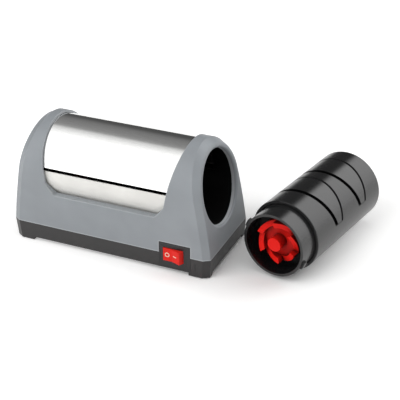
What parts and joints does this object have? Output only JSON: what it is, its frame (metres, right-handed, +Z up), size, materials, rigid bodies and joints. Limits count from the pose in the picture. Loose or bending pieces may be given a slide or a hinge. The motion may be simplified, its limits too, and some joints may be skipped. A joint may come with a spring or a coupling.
{
  "type": "electric knife sharpener",
  "caption": "Electric knife sharpener with a turning steel cover and a removable two-stage sharpening cartridge lying beside it.",
  "frame": {"origin": "on the table, under the middle of the box around housing and cartridge together", "axes": "+X along the housing towards its cartridge mouth, +Y to the back of the housing, +Z up"},
  "size_m": [0.3323, 0.1825, 0.1226],
  "materials": {
    "housing_grey": "fine-grained satin",
    "tray_grey": "fine-grained satin",
    "panel_grey": "satin",
    "rocker_red": "gloss",
    "cover_steel": "fine brushed",
    "strip_plastic": "satin",
    "inner_plastic": "satin",
    "cartridge_grey": "satin",
    "guide_grey": "satin",
    "coupling_red": "satin",
    "drive_red": "satin",
    "wheel_grit": "diamond grit",
    "bush_bronze": "sintered",
    "shaft_steel": "ground",
    "spring_steel": "drawn",
    "motor_zinc": "zinc plated",
    "core_iron": "laminated",
    "coil_copper": "enamelled copper",
    "screw_steel": "zinc plated",
    "contact_metal": "bright",
    "foot_rubber": "soft"
  },
  "bodies": {
    "housing": {"upper_housing": "housing_grey", "base_tray": "tray_grey", "foot_pads": "foot_rubber", "case_screws": "screw_steel", "left_frame": "inner_plastic", "right_frame": "inner_plastic", "frame_screws": "screw_steel", "cradle": "inner_plastic", "lower_strip": "strip_plastic", "motor_can": "motor_zinc", "motor_end_cap": "inner_plastic", "motor_bushes": "bush_bronze", "stator_core": "core_iron", "stator_coils": "coil_copper", "motor_screws": "screw_steel", "socket_cup": "inner_plastic", "switch_panel": "panel_grey", "switch_body": "panel_grey", "switch_terminals": "contact_metal", "inlet_body": "panel_grey", "inlet_pins": "contact_metal"},
    "cover": {"steel_cover": "cover_steel", "cover_rim_left": "inner_plastic", "cover_rim_right": "inner_plastic"},
    "rocker": {"rocker": "rocker_red"},
    "rotor": {"rotor_core": "core_iron", "motor_shaft": "shaft_steel", "drive_dog": "drive_red"},
    "cartridge": {"cartridge_shell": "cartridge_grey", "coarse_guide": "guide_grey", "fine_guide": "guide_grey", "spigot_collar": "cartridge_grey", "end_cap": "cartridge_grey", "front_bush": "bush_bronze", "rear_bush": "bush_bronze"},
    "spindle": {"spindle_shaft": "shaft_steel", "coarse_wheel_left": "wheel_grit", "coarse_wheel_right": "wheel_grit", "fine_wheel_left": "wheel_grit", "fine_wheel_right": "wheel_grit", "shaft_spacers": "inner_plastic", "wheel_springs": "spring_steel", "drive_coupling": "coupling_red"}
  },
  "joints": [
    {"name": "cover_turn", "type": "hinge", "parent": "housing", "child": "cover", "pos_m": [-0.0583, -0.0386, 0.076], "axis": [-1, 0, 0], "range_deg": [0, 150]},
    {"name": "rocker_tilt", "type": "hinge", "parent": "housing", "child": "rocker", "pos_m": [0.0122, -0.0836, 0.0198], "axis": [0, 0, 1], "range_deg": [0, 20]},
    {"name": "rotor_spin", "type": "hinge", "parent": "housing", "child": "rotor", "pos_m": [-0.0583, -0.0386, 0.076], "axis": [1, 0, 0], "continuous": true},
    {"name": "cartridge_lift", "type": "slide", "parent": "housing", "child": "cartridge", "axis": [0, 0, 1], "range_m": [0, 0.13]},
    {"name": "spindle_spin", "type": "hinge", "parent": "cartridge", "child": "spindle", "pos_m": [0.1073, -0.0372, 0.0362], "axis": [0.1891, 0.982, 0], "continuous": true}
  ]
}
